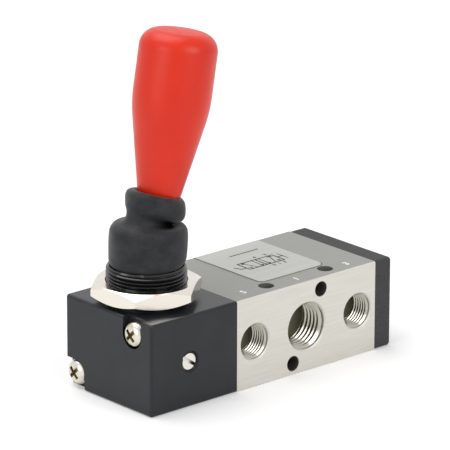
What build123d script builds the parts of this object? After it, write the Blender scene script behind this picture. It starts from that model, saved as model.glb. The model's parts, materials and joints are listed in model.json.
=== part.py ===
from build123d import *
import math
import os

# Hand lever air valve with five ports and two positions, for a panel. Millimetres, +Z up.
# The origin is the centre of the valve body's bottom face. X runs along the valve: the lever
# housing is at the -X end and the end cap at the +X end. The supply port and the two exhausts
# open to -Y, and the two outlets to +Y. The lever is modelled where it rests over the body.

# ---------------------------------------------------------------- driving dimensions
# The three blocks in a row
body_length = 50.4
block_depth = 35.0
block_height = 25.6
housing_length = 30.0
cap_length = 6.2
axis_height = 12.8  # spool axis and ports, above the bottom face

# Edges
body_edge_break = 0.3
housing_edge_round = 0.8
cap_edge_round = 1.0

# Ports: quarter inch for supply and outlets, eighth inch for the exhausts
main_port_radius = 6.58
main_port_depth = 9.5
exhaust_port_radius = 4.87
exhaust_port_depth = 7.5
port_lead_in = 0.37
exhaust_spacing = 18.7  # from the supply port to each exhaust
outlet_spacing = 9.5  # from the middle to each outlet
feed_radius = 2.0

# Mounting holes through the body
down_hole_radius = 2.2
down_hole_spacing = 21.5
down_hole_from_front = 4.6
cross_hole_radius = 2.1
cross_hole_x = 5.0
cross_hole_rise = 9.5  # above and below the spool axis

# Screws that hold the housing and the cap to the body
end_screw_radius = 2.0
housing_screw_length = 35.0
cap_screw_length = 10.0
screw_end_gap = 1.3  # left under each screw in its tapped hole
head_radius = 3.5
head_height = 2.9
head_edge_drop = 1.1
head_edge_inset = 0.8
head_recess_radius = 3.7
housing_recess_depth = 2.2
cap_recess_depth = 3.2
upper_screw_from_front = 7.8
upper_screw_from_top = 4.5
lower_screw_from_back = 3.9
lower_screw_height = 4.4
cap_screw_y = 12.0
cap_screw_rise = 8.0  # above and below the spool axis
recess_cross_width = 0.95
recess_cross_length = 3.6
recess_cross_depth = 1.7

# Spool and its bore
spool_bore_radius = 6.0
land_length = 6.0
stem_radius = 3.5
land_seal_section = 0.65  # half the side of the ring's section
land_seal_spacing = 3.4
spool_end_gap = 1.5  # from the spool's end to the body's end, lever over the body
hook_head_radius = 3.0
hook_head_length = 1.8
hook_neck_radius = 1.8
hook_lip = 2.8

# Bushes that close the spool bore
bush_radius = 7.5
bush_length = 4.3
stem_seal_section = 0.7
bush_groove_width = 1.6
face_seal_radius = 9.2
face_seal_section = 0.55

# Lever, neck and slide block
neck_from_end = 13.4
neck_radius = 11.0
neck_height = 10.0
neck_edge_break = 0.8
boot_seat_radius = 9.4
boot_seat_depth = 4.0
neck_bore_radius = 8.0
throat_radius = 5.7
throat_top_below_deck = 1.0
pivot_rise = 3.0  # pin above the housing's top face
pin_radius = 1.5
pin_length = 20.4
pin_edge_break = 0.3
lever_tilt = 10.0  # degrees each side of upright
finger_ball_radius = 2.7
finger_radius = 1.8
slot_play = 0.3
block_radius = 5.9
block_left = 6.5  # from the slot's middle
block_right = 10.5
block_flat_height = 4.0
slot_depth_below = 3.6
slot_half_width = 3.3
cavity_wall = 3.0

# Detent: a ball and spring behind a slotted set screw
detent_hole_radius = 2.5
detent_lead_in = 0.35
detent_ball_radius = 2.38
detent_depth = 0.5
detent_screw_length = 3.0
detent_screw_sink = 0.4
detent_spring_wire = 0.3
detent_spring_turns = 3
set_slot_width = 0.9
set_slot_depth = 1.1
set_slot_turn = -35.0

# Panel nut
nut_across_flats = 27.0
nut_height = 4.5
nut_gap = 1.2  # above the housing
nut_turn = -82.0
nut_face_slope = 30.0
nut_face_inset = 0.35

# Grip, its insert and the lever rod, as distances from the pin along the lever
rod_radius = 4.0
hub_radius = 4.6
hub_half_length = 4.2
hub_shoulder = 1.0
rod_thread_radius = 2.95
rod_thread_start = 26.2
rod_end = 38.0
grip_start = 27.0
grip_foot_radius = 5.9
grip_shoulder = 47.5
grip_shoulder_radius = 10.1
grip_end = 70.0
grip_end_radius = 10.45
grip_corner = 4.8
grip_crown = 0.35
grip_shoulder_blend = 6.0  # from the shoulder to the barrel's full radius
insert_radius = 4.4
insert_length = 12.0
insert_wall_gap = 0.05

# Rubber boot
boot_wall = 0.9
boot_foot_radius = 9.3
boot_skirt_radius = 10.5
boot_bulge_rise = 1.2  # from the neck's top to the skirt's full radius
boot_skirt_top = 20.0  # above the housing
boot_skirt_corner = 2.4
boot_waist_radius = 6.4
boot_waist_start = 12.6  # along the lever, as are the cuff's sizes
cuff_start = 18.9
cuff_end = 26.9
cuff_radius = 7.8
cuff_corner = 2.4
boot_bore_start = 10.0
boot_to_rod = 0.3

# Label plate on the body's top face
label_left = -10.35
label_right = 13.1
label_from_front = 7.1
label_back_margin = 0.5
label_thickness = 0.15
label_corner = 2.0

# Clearances
thread_gap = 0.05
running_gap = 0.08
seal_gap = 0.05
block_gap = 0.1
screw_hole_gap = 0.2

# ---------------------------------------------------------------- places worked out
body_left = -body_length / 2
body_right = body_length / 2
front_y = -block_depth / 2
back_y = block_depth / 2
housing_left = body_left - housing_length
cap_right = body_right + cap_length
neck_x = housing_left + neck_from_end
neck_top = block_height + neck_height
pivot_z = block_height + pivot_rise
arm = pivot_z - axis_height  # from the pin down to the spool axis
travel = 2 * arm * math.radians(lever_tilt)
slot_x = neck_x - travel / 2
spool_x = -travel / 2  # middle of the spool with the lever over the body
land_radius = spool_bore_radius - running_gap
upper_screw = (front_y + upper_screw_from_front, block_height - upper_screw_from_top)
lower_screw = (back_y - lower_screw_from_back, lower_screw_height)
housing_screw_places = (upper_screw, lower_screw)
cap_screw_places = (
    (-cap_screw_y, axis_height + cap_screw_rise),
    (cap_screw_y, axis_height - cap_screw_rise),
)
slide_left = slot_x - block_left
slide_right = slot_x + block_right

lean = math.radians(lever_tilt)
pivot = Vector(neck_x, 0, pivot_z)
lever_dir = Vector(math.sin(lean), 0, math.cos(lean))
lever_side = Vector(math.cos(lean), 0, -math.sin(lean))
lever_plane = Plane(origin=pivot, x_dir=lever_side, z_dir=(0, -1, 0))  # y runs up the lever
lever_axis = Axis(pivot, lever_dir)
neck_axis = Axis((neck_x, 0, 0), (0, 0, 1))


def front_at(x, z):
    """Plane on the front face, looking out to -Y, with its x along the valve."""
    return Plane(origin=(x, front_y, z), x_dir=(1, 0, 0), z_dir=(0, -1, 0))


def back_at(x, z):
    """Plane on the back face, looking out to +Y."""
    return Plane(origin=(x, back_y, z), x_dir=(-1, 0, 0), z_dir=(0, 1, 0))


def across_at(x):
    """Plane across the valve at x, looking to +X, with its y up and its origin at z 0."""
    return Plane.YZ.offset(x)


# ---------------------------------------------------------------- valve body
# A block with the spool bore along it, three ports in front, two behind, the bush seats, the
# seal grooves and tapped holes at its ends, and four mounting holes.
with BuildPart() as valve_body:
    with BuildSketch(Plane.XY):
        Rectangle(body_length, block_depth)
    extrude(amount=block_height)
    chamfer(valve_body.edges().filter_by(Axis.X), body_edge_break)
    with BuildSketch(across_at(body_left)):
        with Locations((0, axis_height)):
            Circle(spool_bore_radius)
    extrude(amount=body_length, mode=Mode.SUBTRACT)
    for face_x, inward, screw_places, screw_reach in (
        (body_left, 1, housing_screw_places, housing_screw_length - housing_length + housing_recess_depth),
        (body_right, -1, cap_screw_places, cap_screw_length - cap_length + cap_recess_depth),
    ):
        with BuildSketch(across_at(face_x)):
            with Locations((0, axis_height)):
                Circle(bush_radius)
        extrude(amount=inward * bush_length, mode=Mode.SUBTRACT)
        with BuildSketch(across_at(face_x)):
            with Locations((0, axis_height)):
                Circle(face_seal_radius + face_seal_section + seal_gap)
                Circle(face_seal_radius - face_seal_section - seal_gap, mode=Mode.SUBTRACT)
        extrude(amount=inward * 2 * face_seal_section, mode=Mode.SUBTRACT)
        with BuildSketch(across_at(face_x)):
            with Locations(*screw_places):
                Circle(end_screw_radius + thread_gap)
        extrude(amount=inward * (screw_reach + screw_end_gap), mode=Mode.SUBTRACT)
    with Locations(front_at(0, axis_height)):
        CounterSinkHole(main_port_radius, main_port_radius + port_lead_in, main_port_depth, 90)
    exhaust_mouth = exhaust_port_radius + port_lead_in
    with Locations(front_at(-exhaust_spacing, axis_height), front_at(exhaust_spacing, axis_height)):
        CounterSinkHole(exhaust_port_radius, exhaust_mouth, exhaust_port_depth, 90)
    with Locations(back_at(-outlet_spacing, axis_height), back_at(outlet_spacing, axis_height)):
        CounterSinkHole(main_port_radius, main_port_radius + port_lead_in, main_port_depth, 90)
    with Locations(*[front_at(x, axis_height) for x in (-exhaust_spacing, 0, exhaust_spacing)]):
        Hole(feed_radius, block_depth / 2)
    with Locations(*[back_at(x, axis_height) for x in (-outlet_spacing, outlet_spacing)]):
        Hole(feed_radius, block_depth / 2)
    with Locations(
        front_at(cross_hole_x, axis_height + cross_hole_rise),
        front_at(-cross_hole_x, axis_height - cross_hole_rise),
    ):
        Hole(cross_hole_radius, block_depth)
    with BuildSketch(Plane.XY):
        with Locations((0, front_y + down_hole_from_front)):
            with GridLocations(down_hole_spacing, 0, 2, 1):
                Circle(down_hole_radius)
    extrude(amount=block_height, mode=Mode.SUBTRACT)
valve_body.part.label = "valve_body"

# ---------------------------------------------------------------- end cap
# A moulded plate over the +X end, with a pocket for the spool's end and two sunk screw heads.
with BuildPart() as end_cap:
    with BuildSketch(across_at(body_right)):
        with Locations((0, block_height / 2)):
            Rectangle(block_depth, block_height)
    extrude(amount=cap_length)
    fillet(end_cap.edges().filter_by(Axis.X), cap_edge_round)
    fillet(end_cap.faces().sort_by(Axis.X)[-1].edges(), cap_edge_round)
    with BuildSketch(across_at(body_right)):
        with Locations((0, axis_height)):
            Circle(stem_radius + screw_hole_gap)
    extrude(amount=travel - spool_end_gap + 2 * screw_hole_gap, mode=Mode.SUBTRACT)
    with BuildSketch(across_at(body_right)):
        with Locations(*cap_screw_places):
            Circle(end_screw_radius + screw_hole_gap)
    extrude(amount=cap_length, mode=Mode.SUBTRACT)
    with BuildSketch(across_at(cap_right)):
        with Locations(*cap_screw_places):
            Circle(head_recess_radius)
    extrude(amount=-cap_recess_depth, mode=Mode.SUBTRACT)
end_cap.part.label = "end_cap"

# ---------------------------------------------------------------- lever housing
# A black block with the round neck for the panel on its top. Inside are the slide block's bore,
# the throat that the lever's finger hangs through and the detent's hole. Two screw heads sit in
# an open slot and in a notch on its end.
with BuildPart() as lever_housing:
    with BuildSketch(Plane.XY):
        with Locations((housing_left + housing_length / 2, 0)):
            Rectangle(housing_length, block_depth)
    extrude(amount=block_height)
    edges = lever_housing.edges()
    fillet(edges.filter_by_position(Axis.X, housing_left, body_left - body_edge_break), housing_edge_round)
    with BuildSketch(Plane.XY.offset(block_height)):
        with Locations((neck_x, 0)):
            Circle(neck_radius)
    extrude(amount=neck_height)
    chamfer(lever_housing.edges().filter_by(GeomType.CIRCLE).sort_by(Axis.Z)[-1], neck_edge_break)
    with Locations(Plane.XY.offset(neck_top).move(Location((neck_x, 0, 0)))):
        Hole(throat_radius, neck_top - axis_height)
        Hole(neck_bore_radius, neck_height + throat_top_below_deck)
        Hole(boot_seat_radius, boot_seat_depth)
    with BuildSketch(across_at(body_left)):
        with Locations((0, axis_height)):
            Circle(block_radius + block_gap)
    extrude(amount=-(housing_length - cavity_wall), mode=Mode.SUBTRACT)
    with Locations(Location((neck_x, 0, pivot_z), (90, 0, 0))):
        Cylinder(pin_radius + thread_gap, pin_length, mode=Mode.SUBTRACT)
    with Locations(front_at(neck_x, axis_height)):
        CounterSinkHole(detent_hole_radius, detent_hole_radius + detent_lead_in, block_depth / 2, 90)
    with BuildSketch(across_at(housing_left)):
        with Locations(*housing_screw_places):
            Circle(head_recess_radius)
        with Locations(upper_screw):
            Rectangle(2 * head_recess_radius, block_height, align=(Align.CENTER, Align.MIN))
        with Locations((lower_screw[0] - head_recess_radius, lower_screw[1])):
            Rectangle(block_depth, block_height, align=(Align.MIN, Align.MAX))
        with Locations((lower_screw[0], lower_screw[1] + head_recess_radius)):
            Rectangle(block_depth, block_height, align=(Align.MIN, Align.MAX))
    extrude(amount=housing_recess_depth, mode=Mode.SUBTRACT)
    with BuildSketch(across_at(housing_left)):
        with Locations(*housing_screw_places):
            Circle(end_screw_radius + screw_hole_gap)
    extrude(amount=housing_length, mode=Mode.SUBTRACT)
lever_housing.part.label = "lever_housing"

# ---------------------------------------------------------------- screws
# Pan head screws with a cross recess: long ones through the housing, short ones through the cap.

with BuildPart() as pan_head:
    with BuildSketch(Plane.YZ):
        Circle(head_radius)
    extrude(amount=-head_height)
    chamfer(pan_head.edges().sort_by(Axis.X)[0], length=head_edge_drop, length2=head_edge_inset)
    with BuildSketch(Plane.YZ.offset(-head_height)):
        Rectangle(recess_cross_length, recess_cross_width)
        Rectangle(recess_cross_width, recess_cross_length)
    extrude(amount=recess_cross_depth, mode=Mode.SUBTRACT)

with BuildPart() as housing_screws:
    with BuildSketch(across_at(housing_left + housing_recess_depth)):
        with Locations(*housing_screw_places):
            Circle(end_screw_radius)
    extrude(amount=housing_screw_length)
    for side, height in housing_screw_places:
        with Locations((housing_left + housing_recess_depth, side, height)):
            add(pan_head.part)
housing_screws.part.label = "housing_screws"

with BuildPart() as cap_screws:
    with BuildSketch(across_at(cap_right - cap_recess_depth)):
        with Locations(*cap_screw_places):
            Circle(end_screw_radius)
    extrude(amount=-cap_screw_length)
    for side, height in cap_screw_places:
        with Locations(Location((cap_right - cap_recess_depth, side, height), (0, 180, 0))):
            add(pan_head.part)
cap_screws.part.label = "cap_screws"

# ---------------------------------------------------------------- spool
# A turned stem with two lands, each with two ring grooves, and a hooked head at its left end.
stem_left = slide_right + screw_hole_gap
spool_right = body_right - spool_end_gap
hook_right = slide_right - hook_lip - block_gap
land_places = (spool_x - outlet_spacing, spool_x + outlet_spacing)
land_seal_places = [x + side * land_seal_spacing / 2 for x in land_places for side in (-1, 1)]
with BuildPart() as spool:
    with BuildSketch(across_at(stem_left)):
        with Locations((0, axis_height)):
            Circle(stem_radius)
    extrude(amount=spool_right - stem_left)
    for land_x in land_places:
        with BuildSketch(across_at(land_x - land_length / 2)):
            with Locations((0, axis_height)):
                Circle(land_radius)
        extrude(amount=land_length)
    for seal_x in land_seal_places:
        with BuildSketch(across_at(seal_x - land_seal_section - seal_gap)):
            with Locations((0, axis_height)):
                Circle(land_radius + running_gap)
                Circle(land_radius - 2 * land_seal_section - seal_gap, mode=Mode.SUBTRACT)
        extrude(amount=2 * (land_seal_section + seal_gap), mode=Mode.SUBTRACT)
    with BuildSketch(across_at(hook_right)):
        with Locations((0, axis_height)):
            Circle(hook_neck_radius)
    extrude(amount=stem_left - hook_right)
    with BuildSketch(across_at(hook_right - hook_head_length)):
        with Locations((0, axis_height)):
            Circle(hook_head_radius)
    extrude(amount=hook_head_length)
spool.part.label = "spool"

# Four square-cut rings in the lands' grooves
with BuildPart() as spool_seals:
    for seal_x in land_seal_places:
        with BuildSketch(across_at(seal_x - land_seal_section)):
            with Locations((0, axis_height)):
                Circle(land_radius)
                Circle(land_radius - 2 * land_seal_section, mode=Mode.SUBTRACT)
        extrude(amount=2 * land_seal_section)
spool_seals.part.label = "spool_seals"

# ---------------------------------------------------------------- bushes and end seals
# One bush at each end of the bore guides the stem and holds a ring round it.
bush_seal_places = (body_left + bush_length / 2, body_right - bush_length / 2)
bushes = []
for bush_name, bush_left in (("lever_end_bush", body_left), ("cap_end_bush", body_right - bush_length)):
    with BuildPart() as bush:
        with BuildSketch(across_at(bush_left)):
            with Locations((0, axis_height)):
                Circle(bush_radius - thread_gap)
                Circle(stem_radius + running_gap, mode=Mode.SUBTRACT)
        extrude(amount=bush_length)
        with BuildSketch(across_at(bush_left + (bush_length - bush_groove_width) / 2)):
            with Locations((0, axis_height)):
                Circle(stem_radius + 2 * stem_seal_section + 2 * seal_gap)
                Circle(stem_radius, mode=Mode.SUBTRACT)
        extrude(amount=bush_groove_width, mode=Mode.SUBTRACT)
    bush.part.label = bush_name
    bushes.append(bush)

with BuildPart() as stem_seals:
    for seal_x in bush_seal_places:
        with BuildSketch(across_at(seal_x - stem_seal_section)):
            with Locations((0, axis_height)):
                Circle(stem_radius + seal_gap + 2 * stem_seal_section)
                Circle(stem_radius + seal_gap, mode=Mode.SUBTRACT)
        extrude(amount=2 * stem_seal_section)
stem_seals.part.label = "stem_seals"

with BuildPart() as face_seals:
    for face_x, inward in ((body_left, 1), (body_right, -1)):
        with BuildSketch(across_at(face_x)):
            with Locations((0, axis_height)):
                Circle(face_seal_radius + face_seal_section)
                Circle(face_seal_radius - face_seal_section, mode=Mode.SUBTRACT)
        extrude(amount=inward * 2 * face_seal_section)
face_seals.part.label = "face_seals"

# ---------------------------------------------------------------- slide block
# It carries the lever's finger in an open slot, hooks on the spool, and has two detent dimples.
ball_y = -(block_radius + seal_gap + detent_ball_radius)  # ball between two dimples
with BuildPart() as slide_block:
    with BuildSketch(across_at(slide_left)):
        with Locations((0, axis_height)):
            Circle(block_radius)
    extrude(amount=slide_right - slide_left)
    with BuildSketch(Plane.XY.offset(axis_height + block_flat_height)):
        with Locations((slide_left, 0)):
            Rectangle(slide_right - slide_left, 2 * block_radius, align=(Align.MIN, Align.CENTER))
    extrude(amount=block_radius, mode=Mode.SUBTRACT)
    with BuildSketch(Plane.XY.offset(axis_height - slot_depth_below)):
        with Locations((slot_x, 0)):
            Rectangle(2 * (finger_ball_radius + slot_play), 2 * slot_half_width)
    extrude(amount=slot_depth_below + block_radius, mode=Mode.SUBTRACT)
    hook_play = 2 * block_gap
    head_slot = (hook_head_length + hook_play, 2 * hook_head_radius + hook_play)
    neck_slot = (hook_lip + block_gap, 2 * hook_neck_radius + hook_play)
    with BuildSketch(Plane.XY.offset(axis_height - hook_head_radius - hook_play)):
        with Locations((hook_right + block_gap, 0)):
            Rectangle(*head_slot, align=(Align.MAX, Align.CENTER))
        with Locations((slide_right, 0)):
            Rectangle(*neck_slot, align=(Align.MAX, Align.CENTER))
    extrude(amount=hook_head_radius + hook_play + block_radius, mode=Mode.SUBTRACT)
    with Locations(*[(x, ball_y + detent_depth, axis_height) for x in (neck_x, neck_x - travel)]):
        Sphere(detent_ball_radius + block_gap, mode=Mode.SUBTRACT)
slide_block.part.label = "slide_block"

# ---------------------------------------------------------------- detent
with BuildPart() as detent_ball:
    with Locations((neck_x, ball_y, axis_height)):
        Sphere(detent_ball_radius)
detent_ball.part.label = "detent_ball"

set_screw_inner = front_y + detent_screw_sink + detent_screw_length
with BuildPart() as detent_screw:
    with BuildSketch(front_at(neck_x, axis_height).offset(-detent_screw_sink)):
        Circle(detent_hole_radius - thread_gap)
    extrude(amount=-detent_screw_length)
    with BuildSketch(front_at(neck_x, axis_height).offset(-detent_screw_sink)):
        Rectangle(2 * detent_hole_radius, set_slot_width, rotation=set_slot_turn)
    extrude(amount=-set_slot_depth, mode=Mode.SUBTRACT)
detent_screw.part.label = "detent_screw"

spring_start = set_screw_inner + detent_spring_wire + seal_gap
spring_end = ball_y - detent_ball_radius - detent_spring_wire
spring_radius = detent_hole_radius - detent_spring_wire - 2 * block_gap
with BuildPart() as detent_spring:
    with BuildLine():
        coil = Helix(
            (spring_end - spring_start) / detent_spring_turns,
            spring_end - spring_start,
            spring_radius,
            center=(neck_x, spring_start, axis_height),
            direction=(0, 1, 0),
        )
    with BuildSketch(Plane(origin=coil @ 0, z_dir=coil % 0)):
        RegularPolygon(detent_spring_wire, 4)
    sweep(is_frenet=True)
detent_spring.part.label = "detent_spring"

# ---------------------------------------------------------------- lever rod and its pin
with BuildPart() as lever_rod:
    with BuildSketch(lever_plane):
        with BuildLine():
            Polyline(
                (0, -arm),
                (finger_radius, -arm),
                (finger_radius, -hub_half_length - 2 * (hub_radius - finger_radius)),
                (hub_radius, -hub_half_length),
                (hub_radius, hub_half_length),
                (rod_radius, hub_half_length + hub_shoulder),
                (rod_radius, rod_thread_start),
                (rod_thread_radius, rod_thread_start),
                (rod_thread_radius, rod_end),
                (0, rod_end),
                (0, -arm),
            )
        make_face()
    revolve(axis=lever_axis)
    with Locations(pivot - lever_dir * arm):
        Sphere(finger_ball_radius)
    with Locations(Location(pivot, (90, 0, 0))):
        Cylinder(pin_radius + running_gap, pin_length, mode=Mode.SUBTRACT)
lever_rod.part.label = "lever_rod"

with BuildPart() as pivot_pin:
    with Locations(Location(pivot, (90, 0, 0))):
        Cylinder(pin_radius, pin_length)
    chamfer(pivot_pin.edges(), pin_edge_break)
pivot_pin.part.label = "pivot_pin"

# ---------------------------------------------------------------- grip
# A turned plastic grip: a cone that widens into a barrel, with a rounded and slightly crowned
# top, on a brass insert that screws on the rod.
crown_edge = grip_end_radius - grip_corner
crown_radius = (crown_edge**2 + grip_crown**2) / (2 * grip_crown)
with BuildPart() as handle_grip:
    with BuildSketch(lever_plane):
        with BuildLine():
            cone = Line((grip_foot_radius, grip_start), (grip_shoulder_radius, grip_shoulder))
            barrel_bend = TangentArc(
                (grip_shoulder_radius, grip_shoulder),
                (grip_end_radius, grip_shoulder + grip_shoulder_blend),
                tangent=cone % 1,
            )
            Line(barrel_bend @ 1, (grip_end_radius, grip_end - grip_crown - grip_corner))
            RadiusArc(
                (grip_end_radius, grip_end - grip_crown - grip_corner),
                (crown_edge, grip_end - grip_crown),
                -grip_corner,
            )
            crown_turn = math.degrees(math.asin(crown_edge / crown_radius))
            CenterArc((0, grip_end - crown_radius), crown_radius, 90 - crown_turn, crown_turn)
            Polyline((0, grip_end), (0, grip_start), (grip_foot_radius, grip_start))
        make_face()
    revolve(axis=lever_axis)
    with BuildSketch(Plane(origin=pivot + lever_dir * grip_start, x_dir=lever_side, z_dir=lever_dir)):
        Circle(insert_radius)
    extrude(amount=insert_length, mode=Mode.SUBTRACT)
handle_grip.part.label = "handle_grip"

with BuildPart() as grip_insert:
    with BuildSketch(Plane(origin=pivot + lever_dir * grip_start, x_dir=lever_side, z_dir=lever_dir)):
        Circle(insert_radius - insert_wall_gap)
        Circle(rod_thread_radius + thread_gap, mode=Mode.SUBTRACT)
    extrude(amount=insert_length)
grip_insert.part.label = "grip_insert"

# ---------------------------------------------------------------- rubber boot
# The skirt's foot sits in the neck's mouth. The cuff grips the rod under the grip.
boot_foot = neck_top - boot_seat_depth
skirt_top = block_height + boot_skirt_top
with BuildPart() as boot:
    with BuildSketch(Plane.XZ):
        with Locations((neck_x, 0)):
            Polygon(
                (0, boot_foot),
                (boot_foot_radius, boot_foot),
                (boot_foot_radius, neck_top),
                (boot_skirt_radius, neck_top + boot_bulge_rise),
                (boot_skirt_radius, skirt_top - boot_skirt_corner),
                (boot_skirt_radius - boot_skirt_corner, skirt_top),
                (0, skirt_top),
                align=None,
            )
    revolve(axis=neck_axis)
    with BuildSketch(lever_plane):
        Polygon(
            (0, boot_waist_start),
            (boot_waist_radius, boot_waist_start),
            (boot_waist_radius, cuff_start),
            (cuff_radius, cuff_start + cuff_corner),
            (cuff_radius, cuff_end - cuff_corner),
            (cuff_radius - cuff_corner, cuff_end),
            (0, cuff_end),
            align=None,
        )
    revolve(axis=lever_axis)
    with BuildSketch(Plane.XY.offset(boot_foot)):
        with Locations((neck_x, 0)):
            Circle(boot_foot_radius - boot_wall)
    extrude(amount=skirt_top - boot_foot - 2 * boot_wall, mode=Mode.SUBTRACT)
    with BuildSketch(Plane(origin=pivot + lever_dir * boot_bore_start, x_dir=lever_side, z_dir=lever_dir)):
        Circle(rod_radius + boot_to_rod)
    extrude(amount=cuff_end, mode=Mode.SUBTRACT)
boot.part.label = "boot"

# ---------------------------------------------------------------- panel nut
nut_bottom = block_height + nut_gap
with BuildPart() as panel_nut:
    with BuildSketch(Plane.XY.offset(nut_bottom)):
        with Locations((neck_x, 0)):
            RegularPolygon(nut_across_flats / 2, 6, major_radius=False, rotation=nut_turn)
    extrude(amount=nut_height)
    with BuildSketch(Plane.XZ):
        with BuildLine():
            face_r = nut_across_flats / 2 - nut_face_inset
            reach = nut_across_flats / math.sqrt(3) + nut_face_inset
            drop = (reach - face_r) * math.tan(math.radians(nut_face_slope))
            Polyline(
                (neck_x + neck_radius + thread_gap, nut_bottom),
                (neck_x + face_r, nut_bottom),
                (neck_x + reach, nut_bottom + drop),
                (neck_x + reach, nut_bottom + nut_height - drop),
                (neck_x + face_r, nut_bottom + nut_height),
                (neck_x + neck_radius + thread_gap, nut_bottom + nut_height),
                close=True,
            )
        make_face()
    revolve(axis=neck_axis, mode=Mode.INTERSECT)
panel_nut.part.label = "panel_nut"

# ---------------------------------------------------------------- label plate
with BuildPart() as label_plate:
    with BuildSketch(Plane.XY.offset(block_height)) as label_outline:
        label_front = front_y + label_from_front
        with Locations((label_left, label_front)):
            Rectangle(label_right - label_left, back_y - label_back_margin - label_front, align=Align.MIN)
        fillet(label_outline.vertices().group_by(Axis.Y)[0], label_corner)
    extrude(amount=label_thickness)
label_plate.part.label = "label_plate"

# ---------------------------------------------------------------- written files
os.makedirs("parts", exist_ok=True)
pieces = (
    valve_body, end_cap, lever_housing, housing_screws, cap_screws, spool, spool_seals,
    *bushes, stem_seals, face_seals, slide_block, detent_ball, detent_screw,
    detent_spring, lever_rod, pivot_pin, handle_grip, grip_insert, boot, panel_nut, label_plate,
)
for piece in pieces:
    export_step(piece.part, f"parts/{piece.part.label}.step")
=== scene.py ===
import json
import math

import bmesh
import bpy
from mathutils import Matrix, Vector


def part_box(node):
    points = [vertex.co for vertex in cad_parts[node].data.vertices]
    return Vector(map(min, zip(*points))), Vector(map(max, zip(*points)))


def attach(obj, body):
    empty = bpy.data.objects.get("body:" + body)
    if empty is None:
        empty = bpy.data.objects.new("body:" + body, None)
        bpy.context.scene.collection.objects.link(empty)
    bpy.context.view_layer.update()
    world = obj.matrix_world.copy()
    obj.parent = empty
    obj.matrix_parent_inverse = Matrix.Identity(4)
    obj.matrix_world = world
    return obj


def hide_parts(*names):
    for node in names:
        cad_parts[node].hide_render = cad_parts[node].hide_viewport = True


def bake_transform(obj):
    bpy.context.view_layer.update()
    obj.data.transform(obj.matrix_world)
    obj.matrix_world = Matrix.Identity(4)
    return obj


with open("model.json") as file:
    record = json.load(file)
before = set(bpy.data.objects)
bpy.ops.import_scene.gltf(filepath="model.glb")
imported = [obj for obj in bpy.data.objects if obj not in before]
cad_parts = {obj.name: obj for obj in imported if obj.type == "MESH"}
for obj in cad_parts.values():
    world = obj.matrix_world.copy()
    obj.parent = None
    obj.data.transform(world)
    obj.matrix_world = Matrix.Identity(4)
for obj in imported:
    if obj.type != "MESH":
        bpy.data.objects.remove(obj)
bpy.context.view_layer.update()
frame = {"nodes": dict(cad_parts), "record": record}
cad_nodes = frame["nodes"]

# ---------------------------------------------------------------- where the valve is shown
# The valve stands on a plain white floor under one broad soft light, with weaker ones in front
# and on the left. The eye is far away and looks down on its front and on the lever's end.
mm = 0.001
view_azimuth = -41.642
view_elevation = 18.217
view_roll = 0.143
view_distance = 1127.05
view_lens = 334.4
aim = Vector((-10.179, 4.36, 38.295))

turn, rise = math.radians(view_azimuth), math.radians(view_elevation)
towards_eye = Vector(
    (math.sin(turn) * math.cos(rise), -math.cos(turn) * math.cos(rise), math.sin(rise))
)
eye_data = bpy.data.cameras.new("eye")
eye_data.lens = view_lens
eye_data.clip_start = 0.05
eye = bpy.data.objects.new("eye", eye_data)
bpy.context.scene.collection.objects.link(eye)
upright = (-towards_eye).to_track_quat("-Z", "Y").to_matrix().to_4x4()
eye.matrix_world = (
    Matrix.Translation((aim + towards_eye * view_distance) * mm)
    @ upright
    @ Matrix.Rotation(math.radians(view_roll), 4, "Z")
)
bpy.context.scene.camera = eye
bpy.context.scene.view_settings.view_transform = "Standard"


def hang_lamp(name, place, target, size, power):
    """A square soft light at a place, turned to a target, both in metres."""
    lamp_data = bpy.data.lights.new(name, "AREA")
    lamp_data.size = size
    lamp_data.energy = power
    lamp = bpy.data.objects.new(name, lamp_data)
    bpy.context.scene.collection.objects.link(lamp)
    facing = (Vector(target) - Vector(place)).to_track_quat("-Z", "Y").to_matrix().to_4x4()
    lamp.matrix_world = Matrix.Translation(place) @ facing


lit_point = (0, 0, 0.03)
hang_lamp("overhead_light", (-0.1, 0.35, 1.1), lit_point, size=1.0, power=8.5)
hang_lamp("front_light", (0.1, -1.3, 0.7), lit_point, size=0.9, power=7.8)
hang_lamp("left_light", (-1.25, -0.1, 0.5), lit_point, size=0.7, power=4.4)


def reckon(tree, operation, first, second):
    """The result of one sum or comparison on two values, or sockets."""
    sum_node = tree.nodes.new("ShaderNodeMath")
    sum_node.operation = operation
    for socket, value in zip(sum_node.inputs, (first, second)):
        if isinstance(value, bpy.types.NodeSocket):
            tree.links.new(value, socket)
        else:
            socket.default_value = value
    return sum_node.outputs[0]


def seen_or_mirrored(tree):
    """1 for a ray from the eye, or for one that a mirror or glass sends on."""
    ray = tree.nodes.new("ShaderNodeLightPath").outputs
    either = reckon(tree, "MAXIMUM", ray["Is Camera Ray"], ray["Is Glossy Ray"])
    return reckon(tree, "MAXIMUM", either, ray["Is Transmission Ray"])


soft_air_strength = 0.3
room = bpy.data.worlds.new("studio_room")
bpy.context.scene.world = room
room.use_nodes = True
air = room.node_tree
air.nodes.clear()
soft_air = air.nodes.new("ShaderNodeBackground")
soft_air.inputs["Strength"].default_value = soft_air_strength
white_air = air.nodes.new("ShaderNodeBackground")
white_air.inputs["Strength"].default_value = 1.0
for backdrop in (soft_air, white_air):
    backdrop.inputs["Color"].default_value = (1, 1, 1, 1)
air_mix = air.nodes.new("ShaderNodeMixShader")
air_out = air.nodes.new("ShaderNodeOutputWorld")
air.links.new(seen_or_mirrored(air), air_mix.inputs[0])
air.links.new(soft_air.outputs[0], air_mix.inputs[1])
air.links.new(white_air.outputs[0], air_mix.inputs[2])
air.links.new(air_mix.outputs[0], air_out.inputs[0])

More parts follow.
